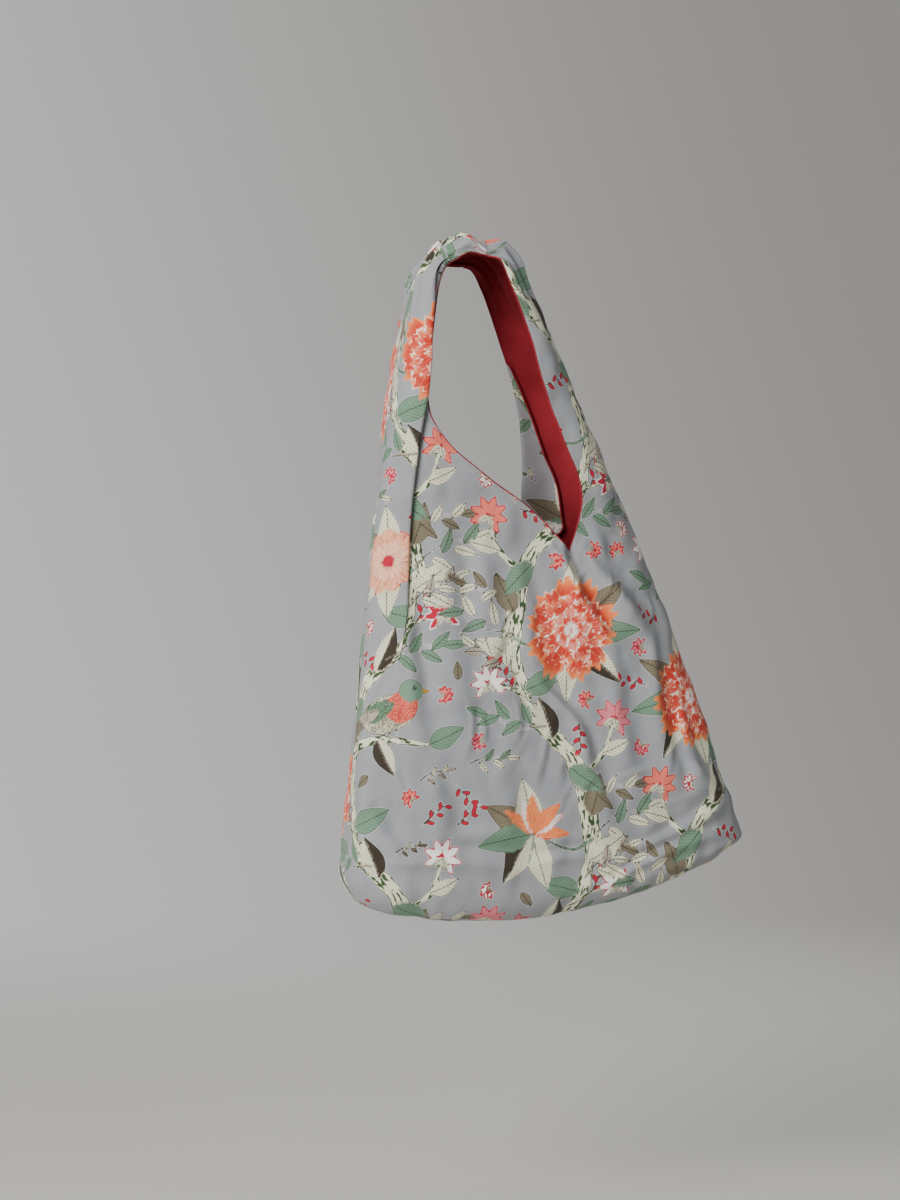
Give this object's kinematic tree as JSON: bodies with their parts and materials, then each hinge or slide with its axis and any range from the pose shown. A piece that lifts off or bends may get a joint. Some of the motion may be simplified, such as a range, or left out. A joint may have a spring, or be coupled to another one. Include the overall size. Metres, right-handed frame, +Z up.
{
  "type": "foldable tote bag",
  "caption": "Lined cotton shoulder tote with wide gathered straps, a V opening, a boxed sagging base and a ring snap, hanging open from its strap.",
  "frame": {"origin": "under the middle of the strap, where a shoulder or a hook carries the bag", "axes": "+X from the front strap to the rear strap, +Y from the near panel to the far panel, +Z up"},
  "size_m": [0.357, 0.101, 0.589],
  "materials": {
    "printed_cotton": "matt plain-weave cotton, printed with flowers and birds on a blue-grey ground",
    "lining_cotton": "matt plain-weave cotton in deep crimson",
    "sewing_thread": "grey spun sewing thread",
    "snap_dark_metal": "gunmetal plated",
    "snap_bright_metal": "bright nickel",
    "label_cloth": "blank satin-weave care label"
  },
  "bodies": {
    "strap_loop": {"shoulder_top_outer": "printed_cotton", "shoulder_top_lining": "lining_cotton", "strap_join_patch": "lining_cotton", "front_strap_outer": "printed_cotton", "front_strap_lining": "lining_cotton", "rear_strap_outer": "printed_cotton", "rear_strap_lining": "lining_cotton", "front_strap_root_outer": "printed_cotton", "front_strap_root_lining": "lining_cotton", "rear_strap_root_outer": "printed_cotton", "rear_strap_root_lining": "lining_cotton"},
    "bag": {"near_panel_outer": "printed_cotton", "near_panel_lining": "lining_cotton", "far_panel_outer": "printed_cotton", "far_panel_lining": "lining_cotton", "front_side_seam": "sewing_thread", "rear_side_seam": "sewing_thread", "base_seam": "sewing_thread", "front_corner_seam": "sewing_thread", "rear_corner_seam": "sewing_thread", "snap_socket": "snap_dark_metal", "snap_spring": "snap_bright_metal", "snap_socket_backing": "snap_dark_metal", "snap_stud": "snap_dark_metal", "snap_stud_backing": "snap_dark_metal", "care_label": "label_cloth"}
  },
  "joints": [
    {"name": "strap_fold", "type": "hinge", "parent": "strap_loop", "child": "bag", "pos_m": [0.06, 0, -0.236], "axis": [1, 0, 0], "range_deg": [-90, 90], "deforming": ["front_strap_root_outer", "front_strap_root_lining", "rear_strap_root_outer", "rear_strap_root_lining"]}
  ]
}
